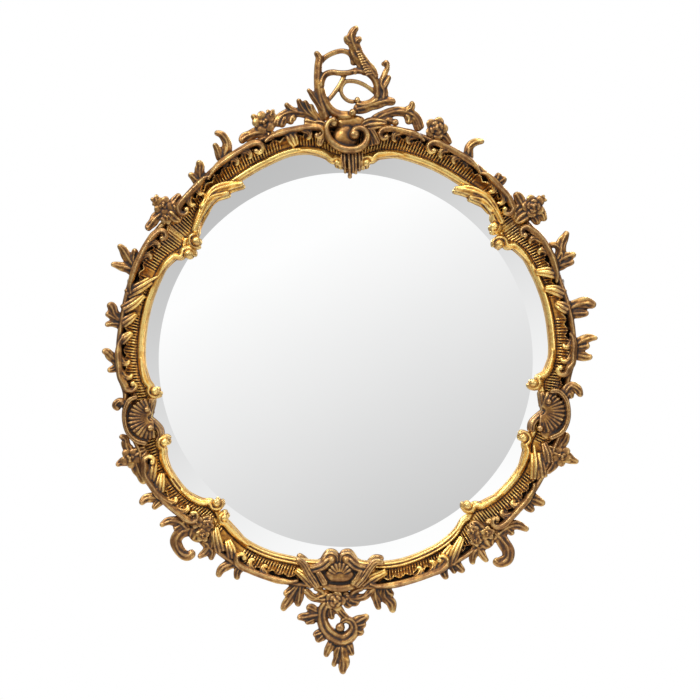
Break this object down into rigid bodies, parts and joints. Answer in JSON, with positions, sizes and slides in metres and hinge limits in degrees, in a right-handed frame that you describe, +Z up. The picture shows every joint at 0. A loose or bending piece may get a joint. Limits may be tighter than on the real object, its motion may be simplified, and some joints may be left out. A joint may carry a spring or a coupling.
{
  "type": "wall mirror",
  "caption": "Round bevelled mirror in a carved giltwood rococo frame with pierced scroll crest, leaf sprigs, flower sprays and hanging leaf pendant, with D-ring hangers on the back.",
  "frame": {"origin": "centre of the backing board's rear face, on the mirror plate's centre line", "axes": "+Z up to the crest, +X to the right seen from the front, +Y to the wall, so the mirror faces -Y"},
  "size_m": [0.6613, 0.0461, 0.8648],
  "materials": {
    "gilt_wood": "antique gilding over carved wood, rubbed bright on the high parts, dark patina in the hollows",
    "mirror_glass": "silvered and bevelled",
    "board_wood": "plain, aged",
    "hanger_steel": "zinc plated",
    "bumper_rubber": "matt"
  },
  "bodies": {
    "frame": {"backing_board": "board_wood", "base_clasp": "gilt_wood", "board_screw_1": "hanger_steel", "board_screw_2": "hanger_steel", "board_screw_3": "hanger_steel", "board_screw_4": "hanger_steel", "board_screw_5": "hanger_steel", "board_screw_6": "hanger_steel", "board_screw_7": "hanger_steel", "board_screw_8": "hanger_steel", "bumper_left": "bumper_rubber", "bumper_right": "bumper_rubber", "cluster_five": "gilt_wood", "cluster_seven": "gilt_wood", "crest_cartouche": "gilt_wood", "crest_foliage_left": "gilt_wood", "crest_foliage_right": "gilt_wood", "crest_openwork": "gilt_wood", "crest_shell_drop": "gilt_wood", "hanger_strap_left": "hanger_steel", "hanger_strap_right": "hanger_steel", "mirror_plate": "mirror_glass", "pendant_rose": "gilt_wood", "pendant_scroll": "gilt_wood", "rail_bottom_left": "gilt_wood", "rail_bottom_right": "gilt_wood", "rail_left": "gilt_wood", "rail_lower_left": "gilt_wood", "rail_lower_right": "gilt_wood", "rail_right": "gilt_wood", "rail_top_left": "gilt_wood", "rail_top_right": "gilt_wood", "rose_right": "gilt_wood", "rose_top_right": "gilt_wood", "side_shell_left": "gilt_wood", "side_shell_right": "gilt_wood", "spray_left": "gilt_wood", "spray_lower_left": "gilt_wood", "spray_lower_right": "gilt_wood", "spray_top_left": "gilt_wood", "strap_screw_left_1": "hanger_steel", "strap_screw_left_2": "hanger_steel", "strap_screw_right_1": "hanger_steel", "strap_screw_right_2": "hanger_steel"},
    "ring_left": {"hanger_ring_left": "hanger_steel"},
    "ring_right": {"hanger_ring_right": "hanger_steel"}
  },
  "joints": [
    {"name": "ring_left_hinge", "type": "hinge", "parent": "frame", "child": "ring_left", "pos_m": [-0.283, 0.0033, 0.108], "axis": [1, 0, 0], "range_deg": [0, 180]},
    {"name": "ring_right_hinge", "type": "hinge", "parent": "frame", "child": "ring_right", "pos_m": [0.283, 0.0033, 0.108], "axis": [1, 0, 0], "range_deg": [0, 180]}
  ]
}
